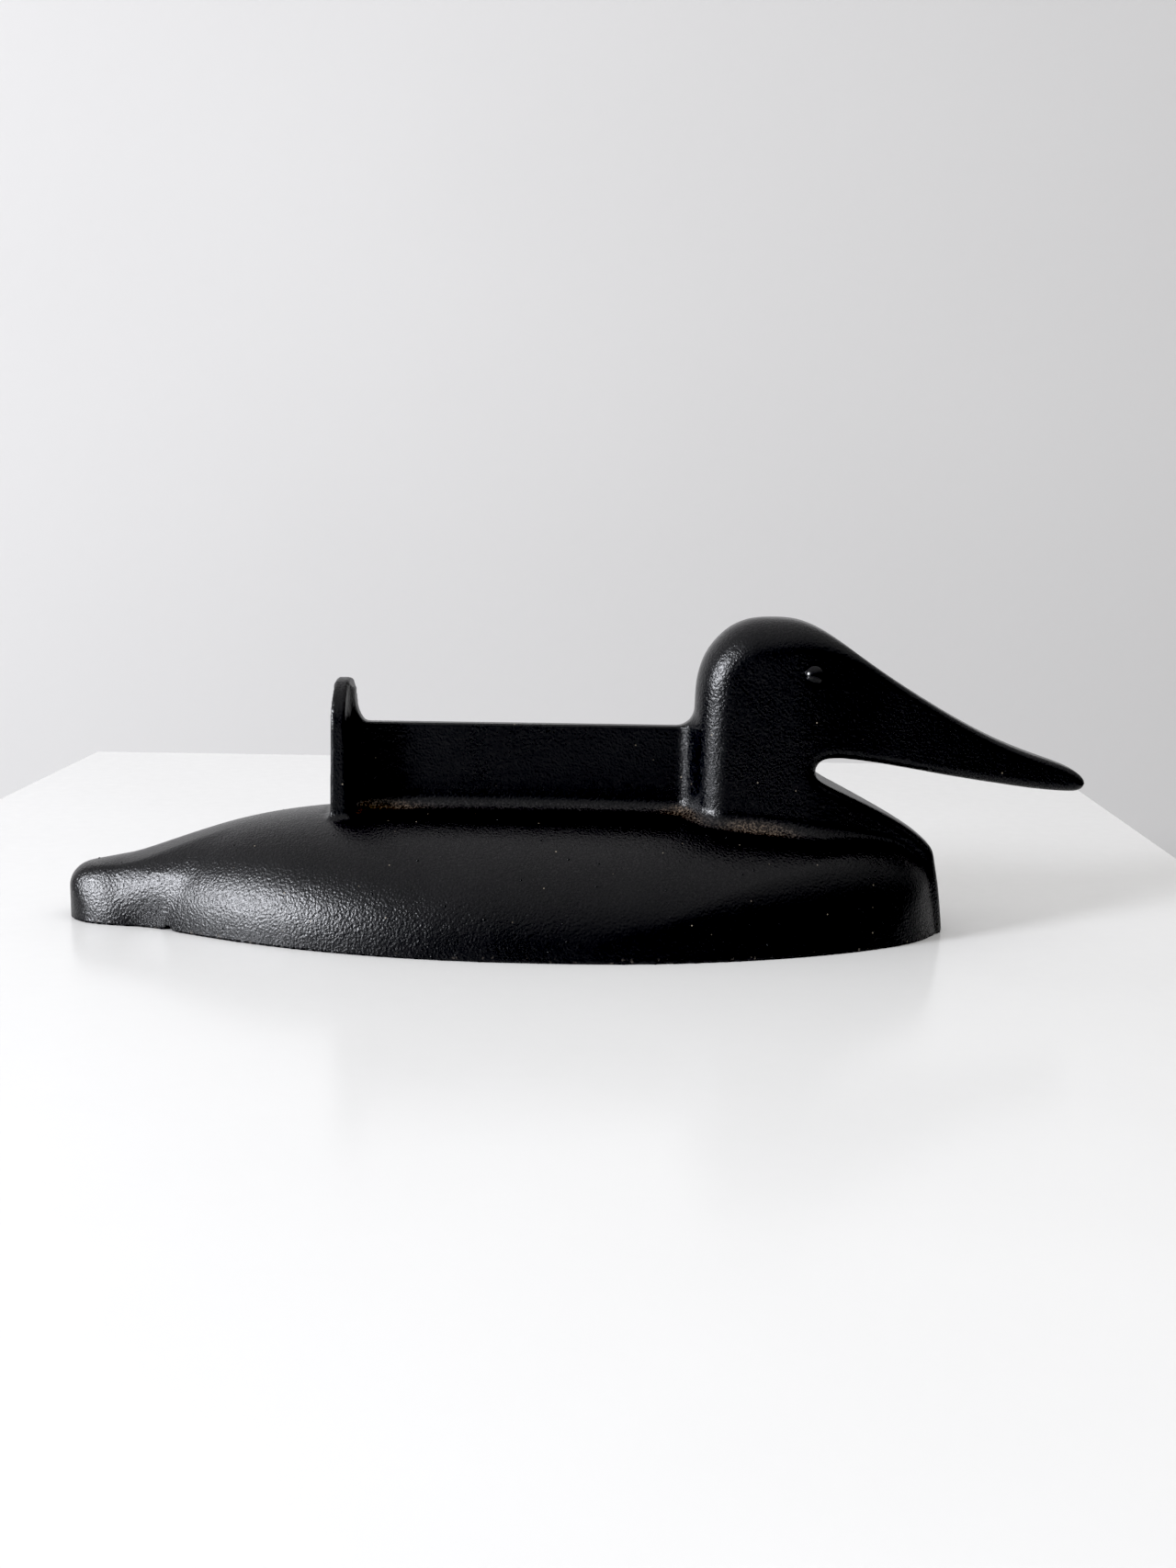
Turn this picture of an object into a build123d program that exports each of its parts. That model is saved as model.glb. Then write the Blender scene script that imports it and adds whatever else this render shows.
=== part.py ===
from build123d import *
from math import cos, sin, sqrt, radians
import os

# Cast-iron boot scraper in the shape of a long-billed duck, in millimetres.
# +X points to the bill, +Z up, Y = 0 is the mid-plane, Z = 0 the ground.
# A place called "at" is measured forward from the tip of the tail.

# Body shell
body_length = 318.5
body_width = 119.0
back_height = 43.0
wall = 5.5
widest_at = 182.0
highest_at = 150.0
nose_length = 22.0
chest_height = 30.0
chest_rake = 4.5
chest_point = 0.97
chest_fall = 0.95
flank_roundness = 2.3
chest_roundness = 3.4
bow_fullness = 1.8
stern_fullness = 2.3
stern_reach = 0.962
back_arch = 3
back_reach = 1.034
chest_arch = 3.6

# Tail block
tail_length = 38.5
tail_width = 43.4
tail_top = 26.8
tail_slope = 0.245
tail_end_radius = 9.5
tail_roundness = 2.6

# End plate and blade
plate_at = 99.5
plate_thickness = 5.3
plate_width = 32.5
plate_top = 89.0
plate_draft = 1.15
blade_length = 123.0
blade_thickness = 6.0
blade_top = 73.2
foot_spread = 6.0
foot_rise = 7.0
web_radius = 5.5
foot_belly = 0.22
foot_belly_height = 0.4
web_belly = 0.3
foot_sink = 1.0

# Neck and head
neck_depth = 43.0
neck_width = 32.0
crown_top = 112.6
crown_radius = 26.5
brow_depth = 16.0
brow_fall = 1.8
shoulder_share = 0.9
throat_height = 59.4
throat_gap = 7.2

# Bill
bill_length = 81.0
bill_root_top = 98.7
bill_root_under = 62.6
bill_root_width = 24.0
bill_tip_top = 59.5
bill_tip_under = 52.0
bill_tip_width = 12.0
bill_dip = 3.9
bill_nail = 4.0
nail_width_share = 0.32
nail_under_share = 0.12
nail_top_share = 0.6
nail_shoulder_share = 0.3

# Breast ridge
ridge_root_width = 27.0
ridge_tip_width = 13.0
ridge_fall = 0.86
ridge_shoulder = 0.4

# Eyes
eye_diameter = 7.3
eye_rise = 2.2
eye_back = 3.0
eye_height = 94.0

# Derived places
neck_at = plate_at + plate_thickness + blade_length
throat_at = neck_at + neck_depth
bill_at = throat_at + brow_depth
tip_at = bill_at + bill_length
middle = tip_at / 2
chest_at = body_length - chest_rake
nose_at = chest_at - nose_length
throat_roof = throat_height + throat_gap / 2
throat_floor = throat_height - throat_gap / 2
sunk = back_height / 2


def place(at, y, z):
    return Vector(at - middle, y, z)


def body_half_width(at):
    """Plan outline: round in front of the widest place, drawn out long behind it."""
    if at > widest_at:
        share = (at - widest_at) / (body_length - widest_at)
        return body_width / 2 * sqrt(max(1 - share ** bow_fullness, 0))
    share = (widest_at - at) / (widest_at * stern_reach)
    return body_width / 2 * (1 - share ** stern_fullness)


def back_line(at):
    """Height of the back on the mid-plane, before the neck and the blade are added."""
    if at > highest_at:
        share = (at - highest_at) / (chest_at - highest_at)
        return back_height - (back_height - chest_height) * share ** chest_arch
    share = (highest_at - at) / (highest_at * back_reach)
    return back_height * (1 - share ** back_arch)


def domed_section(at, half_width, height, roundness):
    """Section across the body: a flat foot under a domed back."""
    half_dome = []
    for turn in (0, 14, 30, 46, 62, 77):
        across = half_width * cos(radians(turn)) ** (2 / roundness)
        up = height * sin(radians(turn)) ** (2 / roundness)
        half_dome.append((across, up))
    points = [place(at, y, z) for y, z in half_dome]
    points.append(place(at, 0, height))
    points += [place(at, -y, z) for y, z in reversed(half_dome)]
    dome = Spline(*points)
    return make_face([dome, Line(dome @ 1, dome @ 0)])


def tombstone(at, half_width, foot, top, shoulder):
    """Section across the neck, head or bill: straight sides under a rounded top."""
    spring = top - shoulder
    points = []
    for turn in (0, 18, 42, 66, 90, 114, 138, 162, 180):
        across = half_width * cos(radians(turn))
        points.append(place(at, across, spring + shoulder * sin(radians(turn))))
    crown = Spline(*points)
    side = Polyline(points[-1], place(at, -half_width, foot), place(at, half_width, foot), points[0])
    return make_face([crown, side])


def main_form(inset):
    """Body from the waist to the nose, drawn in all round by the inset."""
    sections = []
    count = 9
    for number in range(count + 1):
        at = tail_length + (nose_at - tail_length) * number / count
        half_width = body_half_width(at) - inset
        sections.append(domed_section(at, half_width, back_line(at) - inset, flank_roundness))
    return loft(sections)


def nose_form(inset):
    """Bow of the chest, closing in to its raked front edge."""
    sections = []
    end_at = chest_at - inset
    end_half_width = body_half_width(chest_at) - inset / 2
    for turn in (0.0, 0.3, 0.55, 0.75, 0.9):
        at = nose_at + (end_at - nose_at) * turn
        roundness = flank_roundness + (chest_roundness - flank_roundness) * turn
        half_width = body_half_width(at + inset * turn) - inset * (1 - turn / 2)
        sections.append(domed_section(at, half_width, back_line(at) - inset, roundness))
    for turn in (0.0, 0.4, 0.7, 0.9, 1.0):
        narrow = sqrt(1 - chest_point * turn ** 2)
        height = (chest_height - inset) * (1 - chest_fall * turn)
        section_at = end_at + chest_rake * turn
        sections.append(domed_section(section_at, end_half_width * narrow, height, chest_roundness))
    return loft(sections, ruled=True)


def tail_form(inset):
    """Tail block: an oval in plan, its end rounded over."""
    sections = []
    length = tail_length - inset
    end_height = tail_top - tail_slope * tail_length
    for turn in (8, 20, 32, 45, 58, 70, 80, 90):
        at = inset + length * (1 - cos(radians(turn)))
        half_width = (tail_width / 2 - inset) * sin(radians(turn))
        short = max(tail_end_radius - (at - inset), 0)
        drop = tail_end_radius - sqrt(tail_end_radius ** 2 - short ** 2)
        height = end_height + tail_slope * at - inset - drop
        sections.append(domed_section(at, half_width, height, tail_roundness))
    return loft(sections, ruled=True)


def crown_line(out):
    """Height of the top of the head, a distance out in front of the neck's back."""
    if out < crown_radius:
        rise = sqrt(crown_radius ** 2 - (crown_radius - out) ** 2)
        return crown_top - crown_radius + rise
    share = (out - crown_radius) / (neck_depth + brow_depth - crown_radius)
    return crown_top - (crown_top - bill_root_top) * share ** brow_fall


def neck_form():
    """Neck and back of the head: round behind, flat at the sides, rounded on top."""
    sections = []
    radius = neck_width / 2
    for turn in (12, 25, 40, 55, 72, 90):
        out = radius * (1 - cos(radians(turn)))
        half_width = radius * sin(radians(turn))
        shoulder = half_width * shoulder_share
        sections.append(tombstone(neck_at + out, half_width, sunk, crown_line(out), shoulder))
    for share in (0.3, 0.6, 1.0):
        out = radius + (neck_depth + throat_gap / 2 - radius) * share
        sections.append(tombstone(neck_at + out, radius, sunk, crown_line(out), radius * shoulder_share))
    form = loft(sections, ruled=True)
    throat = Cylinder(throat_gap / 2, neck_width * 2, rotation=(90, 0, 0))
    return form - Pos(place(throat_at + throat_gap / 2, 0, throat_height)) * throat


def face_form():
    """Front of the head, from the throat to the root of the bill."""
    sections = []
    start = throat_gap / 2
    for share in (0.0, 0.5, 1.0):
        out = neck_depth + start + (brow_depth - start) * share
        half_width = (neck_width + (bill_root_width - neck_width) * share) / 2
        under = throat_roof + (bill_root_under - throat_roof) * share
        shoulder = half_width * shoulder_share
        sections.append(tombstone(neck_at + out, half_width, under, crown_line(out), shoulder))
    return loft(sections, ruled=True)


def bill_form():
    """Long drooping bill: dipped along its top, flat beneath, blunt at its tip."""
    sections = []
    for share in (0.0, 0.2, 0.4, 0.6, 0.8, 1.0):
        at = bill_at + (bill_length - bill_nail) * share
        top = bill_root_top + (bill_tip_top - bill_root_top) * share - bill_dip * 4 * share * (1 - share)
        under = bill_root_under + (bill_tip_under - bill_root_under) * share
        half_width = (bill_root_width + (bill_tip_width - bill_root_width) * share) / 2
        sections.append(tombstone(at, half_width, under, top, half_width * shoulder_share))
    shaft = loft(sections)
    thick = bill_tip_top - bill_tip_under
    blunt = tombstone(tip_at, bill_tip_width * nail_width_share, bill_tip_under + thick * nail_under_share,
                      bill_tip_under + thick * nail_top_share, thick * nail_shoulder_share)
    return shaft + loft([sections[-1], blunt], ruled=True)


def ridge_form():
    """Keel of the breast, falling from the throat to the top of the chest."""
    sections = []
    start = throat_at + throat_gap / 2
    for share in (0.0, 0.25, 0.5, 0.75, 1.0):
        at = start + (chest_at - start) * share
        half_width = (ridge_root_width + (ridge_tip_width - ridge_root_width) * share) / 2
        top = throat_floor + (chest_height - throat_floor) * (ridge_fall * share + (1 - ridge_fall) * share ** 3)
        sections.append(tombstone(at, half_width, chest_height - wall, top, half_width * ridge_shoulder))
    return loft(sections, ruled=True)


def end_plate(outer_body):
    """Upright plate across the back: round topped, drafted thinner upwards."""
    lean = (plate_top - sunk) / 2 * sin(radians(plate_draft))
    half = plate_thickness / 2
    centre = plate_at + half
    side = Plane.XZ * Polygon(
        (centre - half - lean - middle, sunk),
        (centre + half + lean - middle, sunk),
        (centre + half - lean - middle, plate_top),
        (centre - half + lean - middle, plate_top),
        align=None,
    )
    slab = extrude(side, amount=plate_width, both=True)
    radius = plate_width / 2
    front = Rectangle(plate_width, plate_top - radius - sunk, align=(Align.CENTER, Align.MIN))
    outline = Pos(0, sunk) * front + Pos(0, plate_top - radius) * Circle(radius)
    post = extrude(Plane.YZ.offset(centre - middle) * outline, amount=plate_thickness * 2, both=True)
    return (slab & post) - outer_body


def scraper_blade(outer_body, plate, neck):
    """Straight bar from the plate to the neck, spread at its foot, webbed at the plate."""
    half = blade_thickness / 2
    heel = back_height - foot_sink
    outline = Polyline((half, heel + foot_rise), (half, blade_top), (-half, blade_top),
                       (-half, heel + foot_rise))
    spread = half + foot_spread
    belly = half + foot_spread * foot_belly
    belly_height = heel + foot_rise * foot_belly_height
    low = heel - foot_sink
    left = ThreePointArc((-half, heel + foot_rise), (-belly, belly_height), (-spread, low))
    right = ThreePointArc((spread, low), (belly, belly_height), (half, heel + foot_rise))
    foot = Polyline((-spread, low), (-spread, sunk), (spread, sunk), (spread, low))
    section = make_face([outline.edges(), left, foot.edges(), right])
    start = plate_at + plate_thickness / 2
    length = neck_at + neck_width / 4 - start
    bar = extrude(Plane.YZ.offset(start - middle) * section, amount=length)
    face_at = plate_at + plate_thickness
    web = Plane.XZ * Polygon(
        (start - middle, blade_top - web_radius),
        (face_at + web_radius - middle, blade_top - web_radius),
        (face_at + web_radius - middle, blade_top),
        (face_at + web_radius * web_belly - middle, blade_top + web_radius * web_belly),
        (face_at - middle, blade_top + web_radius),
        (start - middle, blade_top + web_radius),
        align=None,
    )
    web = extrude(web, amount=half, both=True)
    return bar + web - outer_body - plate - neck


def eye(side, head):
    """Plain dome standing on the side of the head."""
    radius = ((eye_diameter / 2) ** 2 + eye_rise ** 2) / (2 * eye_rise)
    centre = side * (neck_width / 2 + eye_rise - radius)
    return Pos(place(throat_at - eye_back, centre, eye_height)) * Sphere(radius) - head


def save(name, shape):
    export_step(Compound(children=shape.solids()) if len(shape.solids()) > 1 else shape.solid(),
                "parts/" + name + ".step")


os.makedirs("parts", exist_ok=True)

outer_body = main_form(0) + nose_form(0)
hollow = main_form(wall) + nose_form(wall)
body_shell = outer_body - hollow
tail = tail_form(0) - tail_form(wall)

whole_neck = neck_form()
nape = place(neck_at, 0, blade_top)
throat = place(throat_at, 0, throat_height)
slope = (throat - nape).normalized()
head_joint = Plane(origin=nape, x_dir=slope, z_dir=Vector(0, 1, 0).cross(slope) * -1)
head = split(whole_neck, bisect_by=head_joint, keep=Keep.TOP) + face_form()
neck = split(whole_neck, bisect_by=head_joint, keep=Keep.BOTTOM) - outer_body

plate = end_plate(outer_body)
save("body_shell", body_shell)
save("tail", tail)
save("neck", neck)
save("head", head)
save("bill", bill_form())
save("breast_ridge", ridge_form() - outer_body - neck)
save("end_plate", plate)
save("scraper_blade", scraper_blade(outer_body, plate, whole_neck))
save("left_eye", eye(1, head))
save("right_eye", eye(-1, head))
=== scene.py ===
import math
from itertools import product

import bmesh
import bpy
import numpy as np
from mathutils import Matrix, Vector


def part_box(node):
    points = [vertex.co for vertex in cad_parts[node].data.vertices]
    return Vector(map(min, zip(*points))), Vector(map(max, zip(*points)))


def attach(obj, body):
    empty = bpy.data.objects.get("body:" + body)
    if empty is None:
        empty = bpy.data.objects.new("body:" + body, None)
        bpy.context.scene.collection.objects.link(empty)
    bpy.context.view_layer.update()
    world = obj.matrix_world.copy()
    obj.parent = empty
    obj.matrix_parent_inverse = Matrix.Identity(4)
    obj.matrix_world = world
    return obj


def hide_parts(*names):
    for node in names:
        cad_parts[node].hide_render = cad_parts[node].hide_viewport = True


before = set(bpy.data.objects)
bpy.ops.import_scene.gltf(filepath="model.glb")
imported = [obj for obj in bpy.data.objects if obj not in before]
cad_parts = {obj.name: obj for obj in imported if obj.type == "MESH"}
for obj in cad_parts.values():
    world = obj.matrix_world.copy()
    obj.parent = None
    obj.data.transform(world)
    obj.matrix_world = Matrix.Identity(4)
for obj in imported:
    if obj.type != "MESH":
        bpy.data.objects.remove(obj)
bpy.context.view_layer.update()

# ---------------------------------------------------------------------------
# Body. One hollow sand casting in grey iron, shaped like a decoy: a long oval in
# plan, domed across, standing on its rim. Every form is given as a distance, in
# metres, negative inside the iron, so the fillets come out as on the pattern.
mm = 0.001
tail_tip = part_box("tail")[0].x
waist_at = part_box("tail")[1].x
chest_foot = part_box("body_shell")[1].x
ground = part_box("body_shell")[0].z
back_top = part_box("body_shell")[1].z
body_half_width = 59.3 * mm
widest_at = tail_tip + 182 * mm
highest_at = tail_tip + 150 * mm
chest_top = 29.8 * mm
chest_top_at = chest_foot - 4.4 * mm
flank_draft = 0.15
flank_roundness = 2.25
chest_turn = 11 * mm
least_turn = 0.8 * mm
dome_sink = 7 * mm
bow_overreach = 16 * mm
stern_run = 175 * mm
stern_fullness = 2.3
back_run = 153 * mm
back_fullness = 3.3
chest_fullness = 3.6
stern_clearance = 2 * mm
clear_until = widest_at - 20 * mm
met_from = widest_at + 30 * mm
iron_wall = 5.5 * mm


def smooth(low, high, value):
    """Eased step from 0 at low to 1 at high."""
    share = np.clip((value - low) / (high - low), 0, 1)
    return share * share * (3 - 2 * share)


def fillet(one, other, radius):
    """Joins two forms with a hollow fillet of that radius."""
    gap = np.hypot(np.maximum(radius - one, 0), np.maximum(radius - other, 0))
    return np.maximum(radius, np.minimum(one, other)) - gap


def rounded(one, other, radius):
    """Keeps what is inside both forms, with their shared edge rounded off."""
    outside = np.hypot(np.maximum(one + radius, 0), np.maximum(other + radius, 0))
    return np.minimum(np.maximum(one, other) + radius, 0) + outside - radius


class Template:
    """Distance from a flat outline, as cut in sheet: negative inside it."""

    def __init__(self, points, reach=14 * mm, step=0.4 * mm):
        points = np.asarray(points)
        self.low, self.step = points.min(0) - reach, step
        size = ((points.max(0) + reach - self.low) / step).astype(int) + 2
        u = self.low[0] + step * np.arange(size[0])[:, None]
        v = self.low[1] + step * np.arange(size[1])[None, :]
        nearest = np.full(size, 1e9)
        inside = np.zeros(size, bool)
        for (u0, v0), (u1, v1) in zip(points, np.roll(points, -1, axis=0)):
            run, rise = u1 - u0, v1 - v0
            length = max(run * run + rise * rise, 1e-14)
            share = np.clip(((u - u0) * run + (v - v0) * rise) / length, 0, 1)
            nearest = np.minimum(nearest, (u - u0 - share * run) ** 2 + (v - v0 - share * rise) ** 2)
            if rise:
                inside ^= ((v0 > v) != (v1 > v)) & (u < u0 + (v - v0) / rise * run)
        self.table = np.where(inside, -1, 1) * np.sqrt(nearest)

    def __call__(self, u, v):
        u, v = np.broadcast_arrays((u - self.low[0]) / self.step, (v - self.low[1]) / self.step)
        last = np.array(self.table.shape) - 1.001
        cu, cv = np.clip(u, 0, last[0]), np.clip(v, 0, last[1])
        i, j = cu.astype(int), cv.astype(int)
        fu, fv = cu - i, cv - j
        near = self.table[i, j] * (1 - fu) + self.table[i + 1, j] * fu
        far = self.table[i, j + 1] * (1 - fu) + self.table[i + 1, j + 1] * fu
        return near * (1 - fv) + far * fv + np.hypot(u - cu, v - cv) * self.step


def flowing(points, steps=5):
    """Smooth closed outline through the listed points, in mm from the tail's tip."""
    points = np.asarray(points, float) * mm + [tail_tip, 0]
    before, after, later = (np.roll(points, turn, axis=0) for turn in (1, -1, -2))
    stretches = []
    for step in range(steps):
        t = step / steps
        stretches.append(0.5 * (2 * points + (after - before) * t
                                + (2 * before - 5 * points + 4 * after - later) * t ** 2
                                + (3 * points - before - 3 * after + later) * t ** 3))
    return np.stack(stretches, axis=1).reshape(-1, 2)


near_side = [
    (20, 9.6), (34, 18.9), (48, 27.2), (64, 35.4), (85.6, 44.2), (101, 49.2), (117, 53.2),
    (136, 56.6), (155, 58.6), (174, 59.3), (196, 59.1), (217, 57), (236, 53.4), (254, 48.6),
    (269, 43.2), (282.5, 37.2), (292, 32), (300, 26.8), (307, 20.6), (312, 14.4), (316, 7.2),
    (317.7, 0),
]
plan_steps = 12
far_side = [(at, -out) for at, out in near_side[-2::-1]]
body_outline = flowing(near_side + far_side, plan_steps)
body_plan = Template(body_outline)
near_outline = body_outline[:plan_steps * (len(near_side) - 1)]


def body_half_width_at(x):
    """Half width of the dome: round ahead of the widest place, drawn out long behind."""
    ahead = np.clip((x - widest_at) / (chest_foot + bow_overreach - widest_at), 0, 1)
    behind = np.clip((widest_at - x) / stern_run, 0, 0.97)
    share = np.where(x > widest_at, (1 - ahead ** 2) ** 0.5, 1 - behind ** stern_fullness)
    return body_half_width * share


def back_height_at(x):
    """Height of the back along the mid-plane."""
    ahead = np.clip((x - highest_at) / (chest_top_at - highest_at), 0, 1.1)
    behind = np.clip((highest_at - x) / back_run, 0, 0.98)
    to_chest = back_top - (back_top - chest_top) * ahead ** chest_fullness
    to_tail = back_top * (1 - behind ** back_fullness)
    return np.where(x > highest_at, to_chest, to_tail)


def dome(x, y, z, half_width, height, roundness, sink=0.0):
    """Domed back over a given half width and height, its centre sunk below the ground."""
    height = height + sink
    across = np.abs(y) / half_width
    up = np.maximum(z - ground + sink, 0) / height
    reach = (across ** roundness + up ** roundness) ** (1 / roundness) + 1e-9
    lean = roundness - 1
    slope = np.hypot((across / reach) ** lean / half_width, (up / reach) ** lean / height)
    return (reach - 1) / np.maximum(slope, 1 / body_half_width)


def body_form(x, y, z, inset=0.0):
    """Dome of the back, cut round ahead by the drafted walls of the plan outline."""
    clear = stern_clearance * (1 - smooth(clear_until, met_from, x))
    walls = body_plan(x, y) + (z - ground) * flank_draft + inset - clear
    reach = body_half_width_at(x)
    height = back_height_at(x)
    sunk = (dome_sink / (height + dome_sink)) ** flank_roundness
    half_width = np.maximum(reach, 4 * mm) / (1 - sunk) ** (1 / flank_roundness)
    over = dome(x, y, z, half_width, height, flank_roundness, dome_sink) + inset
    beyond = reach - np.interp(x, near_outline[:, 0], near_outline[:, 1])
    return rounded(walls, over, np.clip(1.2 * beyond, least_turn, chest_turn))


# ---------------------------------------------------------------------------
# Tail. A rounded block cast on behind the waist, hollow like the body, and set
# off from it by a shallow valley and a nick in the rim.
tail_half_width = 21.7 * mm
tail_long = 38 * mm
tail_end_height = 18.6 * mm
tail_climb = 0.205
tail_roundness = 2.15
tail_spread = 1.03
tail_edge = 7 * mm
flank_edge_gain = 3.5 * mm
tail_draft = 0.18
valley_radius = 4.5 * mm
valley_opening = 0.42
valley_height = 20 * mm
turn = np.linspace(0, 2 * math.pi, 72, endpoint=False)
tail_plan = Template(np.stack([
    tail_tip + tail_long * (1 - np.cos(turn)),
    tail_half_width * np.sin(turn),
], axis=1))


def tail_form(x, y, z, inset=0.0):
    """Oval block with a climbing top, its upper edge well rounded."""
    near_flank = smooth(6 * mm, 16 * mm, np.abs(y))
    walls = tail_plan(x, y) + (z - ground) * tail_draft * near_flank + inset
    height = tail_end_height + tail_climb * np.clip(x - tail_tip, 0, 1)
    over = dome(x, y, z, tail_half_width * tail_spread, height, tail_roundness) + inset
    return rounded(walls, over, tail_edge + flank_edge_gain * near_flank)


def body_and_tail(x, y, z, inset=0.0):
    """Body and tail in one, the valley between them opening up the flank."""
    flank = smooth(4 * mm, 20 * mm, np.abs(y))
    radius = valley_radius + valley_opening * np.clip(z - ground, 0, valley_height) * flank
    return fillet(body_form(x, y, z, inset), tail_form(x, y, z, inset), radius)


# ---------------------------------------------------------------------------
# End plate. An upright plate cast on across the back, round topped, with a
# little draft so that the pattern would leave the sand.
plate_at = (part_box("end_plate")[0].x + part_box("end_plate")[1].x) / 2
plate_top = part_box("end_plate")[1].z
plate_radius = (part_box("end_plate")[1].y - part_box("end_plate")[0].y) / 2
plate_half_thickness = 2.45 * mm
plate_draft = 0.013
plate_edge = 0.9 * mm


def plate_form(x, y, z):
    """Upright plate with a half-round top, thicker towards its foot."""
    outline = np.hypot(y, np.maximum(z - plate_top + plate_radius, 0)) - plate_radius
    sides = np.abs(x - plate_at) - plate_half_thickness - plate_draft * (plate_top - z)
    return rounded(outline, sides, plate_edge)


# ---------------------------------------------------------------------------
# Scraper blade. A straight bar along the mid-plane from the plate to the neck,
# a little thinner at its top, with a web that climbs the plate's face.
blade_top = 73.2 * mm
blade_half_thickness = 2.8 * mm
blade_draft = 0.012
blade_edge = 0.7 * mm
web_run = 6.5 * mm
web_climb = 10.3 * mm
web_thinning = 0.3
web_lap = 2 * mm
blade_lap = 8 * mm
neck_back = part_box("neck")[0].x


def blade_form(x, y, z):
    """Bar from the plate into the neck, and the hollow-fronted web over it."""
    sides = np.abs(y) - blade_half_thickness - blade_draft * (blade_top - z)
    ends = np.maximum(plate_at - x, x - neck_back - blade_lap)
    bar = np.maximum(rounded(sides, z - blade_top, blade_edge), ends)
    front = plate_at + plate_half_thickness + web_run
    above = np.maximum(z - blade_top, 0) / web_climb
    hollow = (1 - np.hypot((front - x) / web_run, 1 - above)) * web_run
    web_sides = np.abs(y) - blade_half_thickness * (1 - web_thinning * above)
    web = rounded(np.maximum(hollow, x - front), web_sides, blade_edge)
    web = np.maximum(web, np.maximum(blade_top - web_lap - z, z - blade_top - web_climb))
    return np.minimum(bar, np.maximum(web, plate_at - x))


# ---------------------------------------------------------------------------
# Neck, head, bill and breast ridge. One flat carved profile, as a decoy's head
# is sawn from a plank, with its edges rounded: fully round behind the neck and
# over the crown, and only eased along the bill and the breast.
crown_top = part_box("head")[1].z
bill_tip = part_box("bill")[1].x
throat_at = tail_tip + 270.6 * mm
throat_height = 59.4 * mm
neck_half_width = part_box("neck")[1].y
cheek_thinning = 4.6 / 16
bill_thinning = 5.6 / 16
breast_thinning = 9 / 16
jaw_fall = 0.30
bill_edge, crown_edge = 2.2 * mm, 13.8 * mm
breast_edge, nape_edge = 3.4 * mm, 12.4 * mm
head_profile = Template(flowing([
    (227.6, -8), (227.6, 20), (227.6, 45), (227.6, 66), (227.7, 80), (228.3, 90), (230.6, 97.9),
    (234.5, 104.0), (239.9, 108.9), (246.7, 111.8), (255.2, 112.5), (263.5, 111.7), (271.4, 108.7),
    (279.4, 103.9), (287.4, 98.3), (297.4, 91.5), (309.4, 84.0), (321.5, 77.0), (333.5, 70.9),
    (345.5, 66.0), (357.5, 61.9), (363.8, 59.0), (366.9, 55.6), (365.8, 53.2), (362.2, 52.2),
    (351.0, 52.8), (336.0, 54.8), (320.0, 57.3), (300.0, 60.8), (286.0, 63.0), (278.0, 63.8),
    (272.8, 63.1), (270.5, 60.3), (271.0, 57.0), (274.2, 54.5), (281.2, 51.0), (289.2, 47.0),
    (297.3, 42.7), (305.4, 37.8), (311.2, 33.2), (313.9, 29.8), (315.2, 24.0), (316.9, 14.0),
    (318.2, 0), (317.0, -8), (270.0, -9),
]))


def head_half_thickness(x, z):
    """Thick at the neck, drawn in along the bill and along the breast."""
    at = x - tail_tip
    bill = (1 - cheek_thinning * smooth(262 * mm, 298 * mm, at)
            - bill_thinning * smooth(285 * mm, 372 * mm, at))
    breast = 1 - breast_thinning * smooth(264 * mm, 306 * mm, at)
    jaw = throat_height - jaw_fall * np.maximum(x - throat_at, 0)
    share = smooth(-3 * mm, 3 * mm, z - ground - jaw)
    return (breast + (bill - breast) * share) * neck_half_width


def edge_radius(x, z):
    """Radius of the rounded edges of the profile."""
    at = x - tail_tip
    over = crown_edge + (bill_edge - crown_edge) * smooth(250 * mm, 292 * mm, at)
    under = nape_edge + (breast_edge - nape_edge) * smooth(234 * mm, 260 * mm, at)
    share = smooth(64 * mm, 92 * mm, z - ground + 0.25 * np.maximum(x - throat_at, 0))
    return under + (over - under) * share


def head_form(x, y, z):
    """The carved profile with its edges rounded."""
    sides = np.abs(y) - head_half_thickness(x, z)
    return rounded(head_profile(x, z), sides, edge_radius(x, z))


# ---------------------------------------------------------------------------
# The casting. The forms are joined with the pattern-maker's fillets, a cove is
# run round the foot of the blade and the neck, the hollow is taken out from
# below, and a nick is left in the rim behind the waist.
voxel = 1.15 * mm
web_fillet = 5.5 * mm
neck_fillet = 6.5 * mm
cove_radius = 5.6 * mm
cove_dip = 0.35 * mm
cove_least = 0.35
cove_fades_from = tail_tip + 268 * mm
cove_ends_at = tail_tip + 306 * mm
plate_foot = 2.6 * mm
nick_at = tail_tip + 41.5 * mm
nick_out = 24 * mm
nick_radius = 1.9 * mm


def uprights(x, y, z):
    """Blade, neck, head and bill in one."""
    return fillet(blade_form(x, y, z), head_form(x, y, z), neck_fillet)


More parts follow.
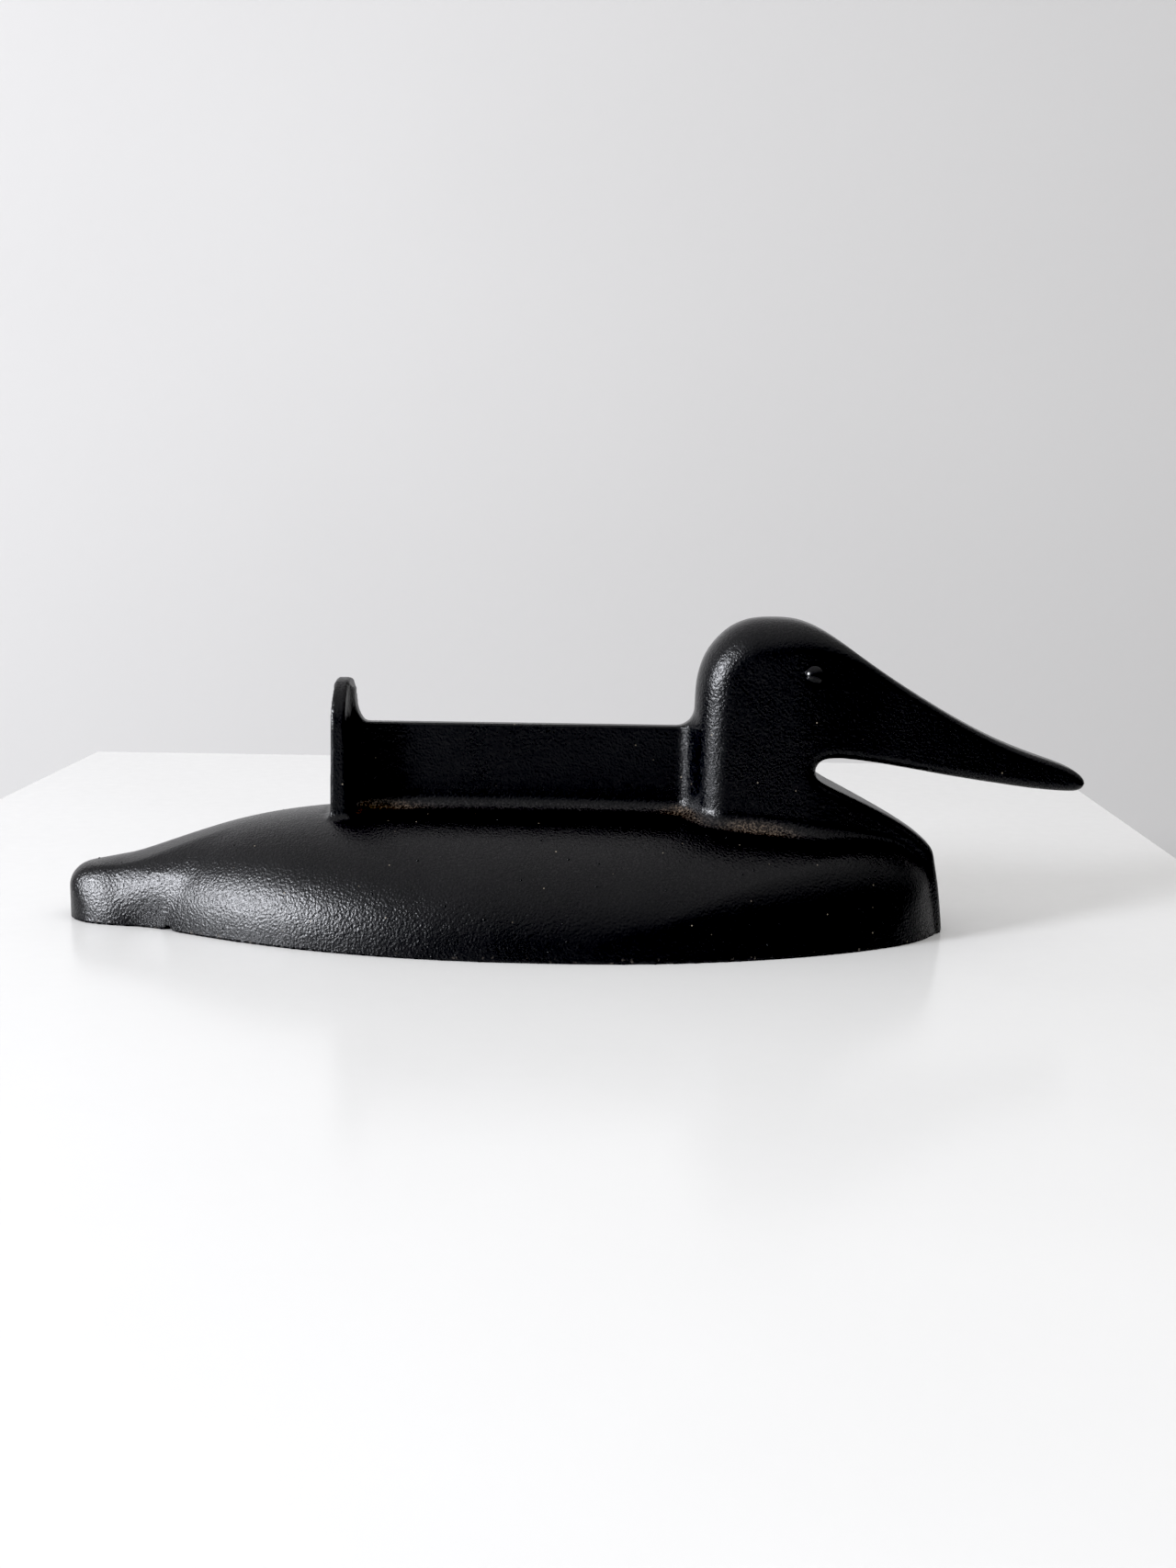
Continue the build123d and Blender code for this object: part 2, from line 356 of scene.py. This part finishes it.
def iron(x, y, z):
    """The whole casting."""
    back = body_and_tail(x, y, z)
    upright = uprights(x, y, z)
    fade = 1 - smooth(cove_fades_from, cove_ends_at, x)
    radius = cove_radius * (cove_least + (1 - cove_least) * fade)
    centre = radius - cove_dip * fade
    packing = np.maximum(upright - radius, back - centre)
    cove = radius - np.hypot(upright - radius, back - centre)
    joined = np.maximum(np.minimum(np.minimum(back, upright), packing), cove)
    joined = fillet(joined, plate_form(x, y, z), plate_foot)
    joined = np.minimum(joined, fillet(blade_form(x, y, z), plate_form(x, y, z), web_fillet))
    joined = np.maximum(joined, -body_and_tail(x, y, z, iron_wall))
    nick = np.hypot(np.hypot(x - nick_at, (np.abs(y) - nick_out) * 0.5), (z - ground) * 1.2)
    joined = np.maximum(joined, nick_radius - nick)
    return np.maximum(joined, ground - z)


def skin(field, corner, step):
    """Closed quad mesh over the zero level of a field sampled on a grid."""
    low = field < 0
    wide, deep, tall = (size - 1 for size in low.shape)
    count = sum(low[i:wide + i, j:deep + j, k:tall + k].astype(np.int8)
                for i, j, k in product((0, 1), repeat=3))
    cells = np.argwhere((count > 0) & (count < 8))
    number = np.full(count.shape, -1)
    number[tuple(cells.T)] = np.arange(len(cells))
    total = np.zeros((len(cells), 3))
    hits = np.zeros(len(cells))
    for axis in range(3):
        others = [a for a in range(3) if a != axis]
        for pair in product((0, 1), repeat=2):
            start = np.zeros(3, int)
            start[others] = pair
            end = start.copy()
            end[axis] = 1
            here = field[tuple((cells + start).T)]
            there = field[tuple((cells + end).T)]
            cross = (here < 0) != (there < 0)
            share = np.where(cross, here / np.where(cross, here - there, 1), 0)
            total[cross] += (start + share[:, None] * (end - start))[cross]
            hits[cross] += 1
    points = np.array(corner) + (cells + total / hits[:, None]) * step
    quads = []
    for axis in range(3):
        side, up = (axis + 1) % 3, (axis + 2) % 3
        first = [slice(1, -1)] * 3
        second = [slice(1, -1)] * 3
        first[axis] = slice(0, -1)
        second[axis] = slice(1, None)
        edges = np.argwhere(low[tuple(first)] != low[tuple(second)])
        edges += [0 if a == axis else 1 for a in range(3)]
        ring = []
        for du, dv in ((-1, -1), (0, -1), (0, 0), (-1, 0)):
            cell = edges.copy()
            cell[:, side] += du
            cell[:, up] += dv
            ring.append(number[tuple(cell.T)])
        ring = np.stack(ring, axis=1)
        quads.append(np.where(low[tuple(edges.T)][:, None], ring, ring[:, ::-1]))
    return points, np.concatenate(quads)


def gradient(points, reach):
    """Direction and steepness in which the iron's distance rises."""
    slope = np.zeros_like(points)
    for axis in range(3):
        step = np.zeros(3)
        step[axis] = reach
        slope[:, axis] = (iron(*(points + step).T) - iron(*(points - step).T)) / (2 * reach)
    return slope


margin = 4 * voxel
grid_x = np.arange(tail_tip - margin, bill_tip + margin, voxel)
grid_y = np.arange(voxel / 2, body_half_width + margin, voxel)
grid_z = np.arange(ground - margin + voxel * 0.37, ground + crown_top + margin, voxel)
half = iron(grid_x[:, None, None], grid_y[None, :, None], grid_z[None, None, :])
both = np.concatenate([half[:, ::-1], half], axis=1)
points, quads = skin(both, (grid_x[0], -grid_y[-1], grid_z[0]), voxel)
settling_passes = 3
probe = 0.08 * mm
for _ in range(settling_passes):
    slope = gradient(points, probe)
    steep = np.maximum((slope ** 2).sum(1), 0.2)
    move = np.clip(iron(*points.T) / steep, -0.5 * voxel, 0.5 * voxel)
    points -= move[:, None] * slope

casting = bmesh.new()
corners = [casting.verts.new(point) for point in points]
for quad in quads:
    casting.faces.new([corners[number] for number in quad])


def saw(mesh, place, facing):
    """Parts a mesh along a plane and closes both cuts; returns what is ahead and what is behind."""
    halves = []
    for keep_ahead in (True, False):
        piece = mesh.copy()
        bmesh.ops.bisect_plane(piece, geom=piece.verts[:] + piece.edges[:] + piece.faces[:], dist=1e-7,
                               plane_co=place, plane_no=facing, clear_inner=keep_ahead,
                               clear_outer=not keep_ahead)
        rim = [edge for edge in piece.edges if edge.is_boundary]
        before = set(piece.faces)
        bmesh.ops.triangle_fill(piece, edges=rim, use_beauty=True)
        for face in piece.faces:
            if face not in before:
                face.material_index = 1
                if face.normal.dot(Vector(facing)) * (-1 if keep_ahead else 1) < 0:
                    face.normal_flip()
        halves.append(piece)
    return halves


def dust_at(where):
    """How much dust lies at each point: in the cove, most by the plate and the neck."""
    along = where[:, 0]
    height = body_and_tail(*where.T)
    away = np.minimum(uprights(*where.T), plate_form(*where.T))
    beyond_cove = np.maximum(away - 3.5 * mm, 0) / (1.6 * mm)
    foot = np.exp(-((height - 0.4 * mm) / (2.8 * mm)) ** 2 - beyond_cove ** 2)
    ahead_of_plate = along - plate_at - plate_half_thickness
    by_plate = np.exp(-((ahead_of_plate - 5 * mm) / (16 * mm)) ** 2)
    at_nape = np.exp(-((along - neck_back + 3 * mm) / (7 * mm)) ** 2)
    beside_neck = 0.75 * np.exp(-((along - neck_back - 24 * mm) / (14 * mm)) ** 2)
    gathered = 0.34 + 0.66 * np.maximum(by_plate, np.maximum(at_nape, beside_neck))
    gathered *= smooth(1 * mm, 4 * mm, ahead_of_plate)
    gathered *= 1 - smooth(neck_back + 30 * mm, neck_back + 56 * mm, along)
    beside_blade = smooth(11 * mm, 15 * mm, np.abs(where[:, 1]))
    beside_blade = beside_blade * (1 - smooth(neck_back - 10 * mm, neck_back, along))
    return foot * gathered * (1 - beside_blade)


def finish_piece(name, cut, nodes):
    """Turns a sawn piece into an object with the casting's own smooth normals."""
    mesh = bpy.data.meshes.new(name)
    cut.to_mesh(mesh)
    cut.free()
    count = len(mesh.vertices)
    where = np.empty(count * 3)
    mesh.vertices.foreach_get("co", where)
    where = where.reshape(-1, 3)
    normal = gradient(where, 0.35 * mm)
    normal /= np.linalg.norm(normal, axis=1)[:, None] + 1e-12
    corner_vertex = np.empty(len(mesh.loops), int)
    mesh.loops.foreach_get("vertex_index", corner_vertex)
    loops = normal[corner_vertex]
    for polygon in mesh.polygons:
        if polygon.material_index:
            loops[polygon.loop_start:polygon.loop_start + polygon.loop_total] = polygon.normal
    mesh.polygons.foreach_set("material_index", np.zeros(len(mesh.polygons), int))
    mesh.polygons.foreach_set("use_smooth", np.ones(len(mesh.polygons), bool))
    mesh.normals_split_custom_set(loops.tolist())
    mesh.attributes.new("cove", "FLOAT", "POINT").data.foreach_set("value", dust_at(where))
    piece = bpy.data.objects.new(name, mesh)
    bpy.context.scene.collection.objects.link(piece)
    mesh.materials.append(enamel)
    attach(piece, "root")
    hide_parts(*nodes)
    return piece


# ---------------------------------------------------------------------------
# Black enamel. The rough casting was dipped or brushed with black stove enamel:
# glossy over a sandy grain, dusty in the cove, chipped and scuffed at the rim,
# its upward faces greyed partly by dust specks and partly by a painted sheen.
class Wire:
    """Output of a shader node; sums written with it become Math nodes."""

    def __init__(self, tree, socket=None):
        self.tree, self.socket = tree, socket

    def make(self, kind, inputs=None, output=0, **settings):
        """Adds any shader node, its inputs fed by name, and returns one output."""
        node = self.tree.nodes.new("ShaderNode" + kind)
        for name, value in settings.items():
            setattr(node, name, value)
        for name, value in (inputs or {}).items():
            if isinstance(value, Wire):
                self.tree.links.new(value.socket, node.inputs[name])
            else:
                node.inputs[name].default_value = value
        return Wire(self.tree, node.outputs[output])

    def sum(self, operation, one, other=0.0):
        return self.make("Math", {0: one, 1: other}, operation=operation)

    def __add__(self, other):
        return self.sum("ADD", self, other)

    __radd__ = __add__

    def __mul__(self, other):
        return self.sum("MULTIPLY", self, other)

    __rmul__ = __mul__

    def __sub__(self, other):
        return self.sum("SUBTRACT", self, other)

    def __rsub__(self, other):
        return self.sum("SUBTRACT", other, self)

    def __truediv__(self, other):
        return self.sum("DIVIDE", self, other)

    def ease(self, low, high):
        """Eased step of this value from 0 at low to 1 at high."""
        return self.make("MapRange", {"Value": self, "From Min": low, "From Max": high},
                         interpolation_type="SMOOTHSTEP")

    def blend(self, plain, over):
        """Mixes two colours by this value."""
        return self.make("Mix", {0: self, 6: plain, 7: over}, 2, data_type="RGBA")

    def noise(self, scale, detail=2.0, roughness=0.5):
        return self.make("TexNoise", {"Vector": self, "Scale": scale, "Detail": detail,
                                      "Roughness": roughness})

    def cells(self, scale, output="Distance", **settings):
        return self.make("TexVoronoi", {"Vector": self, "Scale": scale}, output, **settings)


def plain_material(name):
    """A fresh material, its shader, and a wire to start its nodes from."""
    material = bpy.data.materials.new(name)
    material.use_nodes = True
    return material, material.node_tree.nodes["Principled BSDF"], Wire(material.node_tree)


def feed(shader, name, wire):
    """Leads a wire into one of the shader's inputs."""
    wire.tree.links.new(wire.socket, shader.inputs[name])


deep_black, worn_black = (0.003, 0.003, 0.0035, 1), (0.006, 0.006, 0.0065, 1)
# The grey is dust in the cove, and also a painted sheen on the upward faces.
grey_dust_and_sheen, brown_dust = (0.16, 0.15, 0.15, 1), (0.26, 0.19, 0.13, 1)
chipped_iron, pale_grit = (0.16, 0.14, 0.12, 1), (0.42, 0.36, 0.28, 1)
sand_scale, pebble_scale, speck_scale = 1350, 1150, 300
enamel_gloss = 0.38


def black_enamel(name, grain_height, base_roughness):
    """Enamel over sand-cast iron; shallower in grain and glossier on the eyes."""
    material, shader, start = plain_material(name)
    shader.inputs["Specular IOR Level"].default_value = enamel_gloss
    place = start.make("TexCoord", output="Object")
    height_here = start.make("SeparateXYZ", {0: place}, 2)
    dust_here = start.make("Attribute", output="Fac", attribute_name="cove")
    grain = place.noise(sand_scale, 3, 0.6)
    pebbles = place.cells(pebble_scale, feature="SMOOTH_F1")
    waves = place.noise(75, 2)
    patches = place.noise(38, 3)
    specks = place.cells(speck_scale)
    chosen = start.make("SeparateColor", {0: place.cells(speck_scale, "Color")}, 0)
    speck = (1 - specks.ease(0.03, 0.10)) * chosen.ease(0.90, 0.92)
    drift = place.noise(30, 2).ease(0.36, 0.62)
    crumbs = place.noise(1300, 4, 0.75).ease(0.46, 0.66)
    dusty = dust_here.ease(0.30, 1.0) * (0.35 + 0.65 * drift) * (0.02 + 0.98 * crumbs)
    veil = dust_here.ease(0.02, 0.6) * crumbs * 0.16
    rim = (1 - height_here.ease(0.0004, 0.0026)) * place.noise(420, 3, 0.6).ease(0.62, 0.70)
    upwards = start.make("SeparateXYZ", {0: start.make("NewGeometry", output="Normal")}, 2)
    # Upward faces greyed a little: speckled settled dust, plus a painted sheen standing in for the
    # light reflected on the tops.
    dust_and_sheen_on_tops = upwards.ease(0.15, 1.0) * (0.35 + 0.65 * crumbs)
    colour = patches.blend(deep_black, worn_black)
    colour = (dust_and_sheen_on_tops * 0.08).blend(colour, grey_dust_and_sheen)
    colour = veil.blend(colour, grey_dust_and_sheen)
    colour = dusty.blend(colour, brown_dust)
    colour = (rim * 0.6).blend(colour, chipped_iron)
    colour = (speck * 0.8).blend(colour, pale_grit)
    feed(shader, "Base Color", colour)
    feed(shader, "Roughness", base_roughness + 0.10 * patches + 0.10 * grain + 0.5 * dusty)
    relief = grain * 0.55 + pebbles * 0.6 + waves * 0.8
    bump = start.make("Bump", {"Height": relief, "Strength": 1.0, "Distance": grain_height})
    feed(shader, "Normal", bump)
    return material


enamel = black_enamel("black stove enamel", 0.00022, 0.19)

# The pattern-maker's parts, sawn apart where the real forms change. Their normals
# are those of the one casting, so no seam is seen between them.
shoulder_height = ground + 49.5 * mm
web_front = plate_at + 7 * mm
blade_end = neck_back - 4 * mm
bill_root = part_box("bill")[0].x
upper, lower = saw(casting, (0, 0, shoulder_height), (0, 0, 1))
body, tail = saw(lower, (waist_at, 0, 0), (1, 0, 0))
beyond, plate = saw(upper, (web_front, 0, 0), (1, 0, 0))
beyond, blade = saw(beyond, (blade_end, 0, 0), (1, 0, 0))
front, behind = saw(beyond, (bill_root, 0, 0), (1, 0, 0))
nape = Vector((neck_back, 0, ground + blade_top))
throat = Vector((throat_at, 0, ground + throat_height))
upwards = Vector((0, -1, 0)).cross(throat - nape).normalized()
head, neck = saw(behind, nape, upwards)
finish_piece("cast_tail", tail, ["tail"])
finish_piece("cast_body", body, ["body_shell", "breast_ridge"])
finish_piece("cast_end_plate", plate, ["end_plate"])
finish_piece("cast_scraper_blade", blade, ["scraper_blade"])
finish_piece("cast_neck", neck, ["neck"])
finish_piece("cast_head", head, ["head"])
finish_piece("cast_bill", front, ["bill"])

# ---------------------------------------------------------------------------
# Nibs. Grains of moulding sand burnt onto the casting and painted over: small
# lumps scattered over the outside of the body and the tail.
above_rim = ground + 3 * mm
below_cove = ground + 42 * mm
outer_skin = body_and_tail(*points.T) > -2 * mm
outer_skin &= (points[:, 2] > above_rim) & (points[:, 2] < below_cove)
kept = quads[outer_skin[quads].all(axis=1)]
used, renumbered = np.unique(kept, return_inverse=True)
mesh = bpy.data.meshes.new("grit_nibs")
mesh.from_pydata(points[used].tolist(), [], renumbered.reshape(-1, 4).tolist())
grit = bpy.data.objects.new("grit_nibs", mesh)
bpy.context.scene.collection.objects.link(grit)
scatter = bpy.data.node_groups.new("Scatter nibs", "GeometryNodeTree")
scatter.interface.new_socket("Geometry", in_out="INPUT", socket_type="NodeSocketGeometry")
asked = {}
for label, kind in (("Nibs per square metre", "Float"), ("Nib radius", "Float"), ("Seed", "Int")):
    asked[label] = scatter.interface.new_socket(label, in_out="INPUT", socket_type="NodeSocket" + kind)
scatter.interface.new_socket("Geometry", in_out="OUTPUT", socket_type="NodeSocketGeometry")


def step(kind, **inputs):
    """One geometry node, its inputs fed by name."""
    node = scatter.nodes.new(kind)
    for name, value in inputs.items():
        socket = node.inputs[name.replace("_", " ")]
        if isinstance(value, bpy.types.NodeSocket):
            scatter.links.new(value, socket)
        else:
            socket.default_value = value
    return node


given = scatter.nodes.new("NodeGroupInput").outputs
scattered = step("GeometryNodeDistributePointsOnFaces", Mesh=given["Geometry"],
                 Density=given["Nibs per square metre"], Seed=given["Seed"])
nib = step("GeometryNodeMeshIcoSphere", Radius=given["Nib radius"], Subdivisions=2)
spread = scatter.nodes.new("FunctionNodeRandomValue")
spread.data_type = "FLOAT_VECTOR"
scatter.links.new(given["Seed"], spread.inputs["Seed"])
spread.inputs[0].default_value = (0.5, 0.5, 0.35)
spread.inputs[1].default_value = (1.3, 1.3, 0.8)
placed = step("GeometryNodeInstanceOnPoints", Points=scattered.outputs["Points"],
              Instance=nib.outputs["Mesh"], Rotation=scattered.outputs["Rotation"],
              Scale=spread.outputs[0])
real = step("GeometryNodeRealizeInstances", Geometry=placed.outputs["Instances"])
smoothed = step("GeometryNodeSetShadeSmooth", Geometry=real.outputs["Geometry"])
painted = step("GeometryNodeSetMaterial", Geometry=smoothed.outputs[0], Material=enamel)
scatter.links.new(painted.outputs["Geometry"], scatter.nodes.new("NodeGroupOutput").inputs["Geometry"])
modifier = grit.modifiers.new("Scatter nibs", "NODES")
modifier.node_group = scatter
modifier[asked["Nibs per square metre"].identifier] = 2600.0
modifier[asked["Nib radius"].identifier] = 0.4 * mm
modifier[asked["Seed"].identifier] = 11
evaluated = grit.evaluated_get(bpy.context.evaluated_depsgraph_get())
grit.data = bpy.data.meshes.new_from_object(evaluated)
grit.modifiers.clear()
grit.data.materials.clear()
grit.data.materials.append(enamel)
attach(grit, "root")

# ---------------------------------------------------------------------------
# Eyes. Two plain iron domes cast in one with the sides of the head, under the
# same black enamel, which ran smooth over them.
eye_enamel = black_enamel("black enamel on the eyes", 0.00003, 0.12)
eye_shift = Vector((1.2 * mm, 0, -0.6 * mm))
eye_rise = 2.2 * mm
eye_root = 1.5 * mm
ring_count, turn_count = 12, 40
for node in ("left_eye", "right_eye"):
    low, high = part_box(node)
    centre = (low + high) / 2 + eye_shift
    side = 1 if centre.y > 0 else -1
    radius = (high.z - low.z) / 2
    ball = (radius ** 2 + eye_rise ** 2) / (2 * eye_rise)
    ball_at = neck_half_width + eye_rise - ball
    widest = math.asin(radius / ball)
    leans = [widest * (1 - ring / ring_count) for ring in range(ring_count)]
    profile = [(radius, neck_half_width - eye_root)]
    profile += [(ball * math.sin(lean), ball_at + ball * math.cos(lean)) for lean in leans]
    eye = bmesh.new()
    rings = []
    for out, away in profile:
        ring = []
        for number in range(turn_count):
            turn = 2 * math.pi * number / turn_count
            ring.append(eye.verts.new((centre.x + out * math.cos(turn), side * away,
                                       centre.z + out * math.sin(turn))))
        rings.append(ring)
    top = eye.verts.new((centre.x, side * (neck_half_width + eye_rise), centre.z))
    eye.faces.new(rings[0])
    for inner, outer in zip(rings, rings[1:]):
        for t in range(turn_count):
            eye.faces.new([inner[t], inner[t - 1], outer[t - 1], outer[t]])
    for t in range(turn_count):
        eye.faces.new([rings[-1][t], rings[-1][t - 1], top])
    bmesh.ops.recalc_face_normals(eye, faces=eye.faces)
    mesh = bpy.data.meshes.new("cast_" + node)
    eye.to_mesh(mesh)
    eye.free()
    mesh.polygons.foreach_set("use_smooth", np.ones(len(mesh.polygons), bool))
    mesh.polygons[0].use_smooth = False
    mesh.materials.append(eye_enamel)
    piece = bpy.data.objects.new("cast_" + node, mesh)
    bpy.context.scene.collection.objects.link(piece)
    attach(piece, "root")
    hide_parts(node)

# ---------------------------------------------------------------------------
# Setting. The scraper stands on a small white enamelled table before a painted
# plaster wall, in a dim room with one window to the left.
near_edge, far_edge = -1.2, 0.403
left_edge, right_edge = tail_tip - 0.115, tail_tip + 0.447
thick = 0.03
rounding = 0.004
table = bmesh.new()
bmesh.ops.create_cube(table, size=1)
bmesh.ops.scale(table, verts=table.verts,
                vec=(right_edge - left_edge, far_edge - near_edge, thick))
bmesh.ops.translate(table, verts=table.verts,
                    vec=((left_edge + right_edge) / 2, (far_edge + near_edge) / 2, ground - thick / 2))
bmesh.ops.bevel(table, geom=table.edges, offset=rounding, segments=4, affect="EDGES")
mesh = bpy.data.meshes.new("table_top")
table.to_mesh(mesh)
table.free()
white, shader, start = plain_material("white enamelled table top")
place = start.make("TexCoord", output="Object")
cloud = place.noise(9, 3)
mottle = place.noise(160, 3)
feed(shader, "Base Color", cloud.blend((0.75, 0.745, 0.735, 1), (0.785, 0.78, 0.77, 1)))
shader.inputs["Specular IOR Level"].default_value = 0.2
feed(shader, "Roughness", 0.14 + 0.10 * mottle)
ripple = {"Height": mottle + 3 * cloud, "Strength": 0.4, "Distance": 0.00004}
feed(shader, "Normal", start.make("Bump", ripple))
mesh.materials.append(white)
table_top = bpy.data.objects.new("table_top", mesh)
bpy.context.scene.collection.objects.link(table_top)

wall_at, reach = 0.75, 3.0
mesh = bpy.data.meshes.new("wall")
wall_foot, wall_top = -1, 2.2
mesh.from_pydata([(-reach, wall_at, wall_foot), (reach, wall_at, wall_foot),
                  (reach, wall_at, wall_top), (-reach, wall_at, wall_top)], [], [(0, 1, 2, 3)])
plaster, shader, start = plain_material("painted plaster wall")
place = start.make("TexCoord", output="Object")
greyer, whiter = (0.585, 0.575, 0.565, 1), (0.625, 0.615, 0.605, 1)
feed(shader, "Base Color", place.noise(2.5, 4).blend(greyer, whiter))
feed(shader, "Roughness", 0.75 + 0.15 * place.noise(60, 2))
orange_peel = {"Height": place.noise(120, 3), "Strength": 0.3, "Distance": 0.0004}
feed(shader, "Normal", start.make("Bump", orange_peel))
mesh.materials.append(plaster)
wall = bpy.data.objects.new("wall", mesh)
bpy.context.scene.collection.objects.link(wall)


def soft_light(name, place, target, wide, high, watts, colour=(1, 1, 1)):
    """A rectangular light of that width and height in metres, aimed at the target."""
    lamp = bpy.data.lights.new(name, "AREA")
    lamp.shape = "RECTANGLE"
    lamp.size, lamp.size_y = wide, high
    lamp.energy = watts
    lamp.color = colour
    holder = bpy.data.objects.new(name, lamp)
    bpy.context.scene.collection.objects.link(holder)
    holder.location = place
    holder.rotation_euler = (Vector(target) - Vector(place)).to_track_quat("-Z", "Y").to_euler()
    return holder


soft_light("window", (-2.05, -1.2, 0.72), (0, 0.05, 0.05), 0.56, 0.46, 68, (0.96, 0.98, 1.04))
fill = soft_light("ceiling", (0.6, 0.1, 2.0), (0.1, 0, 0), 2.2, 2.2, 9)
fill.visible_glossy = False
world = bpy.data.worlds.new("dim room")
world.use_nodes = True
world.node_tree.nodes["Background"].inputs["Color"].default_value = (1, 1, 1, 1)
start = Wire(world.node_tree)
height = start.make("SeparateXYZ", {0: start.make("TexCoord", output="Generated")}, 2)
feed(world.node_tree.nodes["Background"], "Strength", 0.30 + 0.38 * height.ease(0.0, 0.85))
bpy.context.scene.world = world
view = bpy.context.scene.view_settings
view.view_transform = "Standard"
view.use_curve_mapping = True
deepest, brightest = 0.0197, 0.84
view.curve_mapping.black_level = (deepest, deepest, deepest)
view.curve_mapping.white_level = (brightest, brightest, brightest)
view.curve_mapping.update()

lens = bpy.data.cameras.new("camera")
lens.sensor_width = 36
lens.lens = 41.23
camera = bpy.data.objects.new("camera", lens)
bpy.context.scene.collection.objects.link(camera)
swing, dip, roll = math.radians(1.62), math.radians(9.42), math.radians(0.63)
along, back_off, eye_height = 0.1897, -0.646, 0.1577
facing = Matrix.Rotation(swing, 4, "Z")
tilt = Matrix.Rotation(math.radians(90) - dip, 4, "X") @ Matrix.Rotation(roll, 4, "Z")
spot = facing @ Vector((along, back_off, 0))
stand = Matrix.Translation((spot.x + tail_tip, spot.y, ground + eye_height))
camera.matrix_world = stand @ facing @ tilt
bpy.context.scene.camera = camera
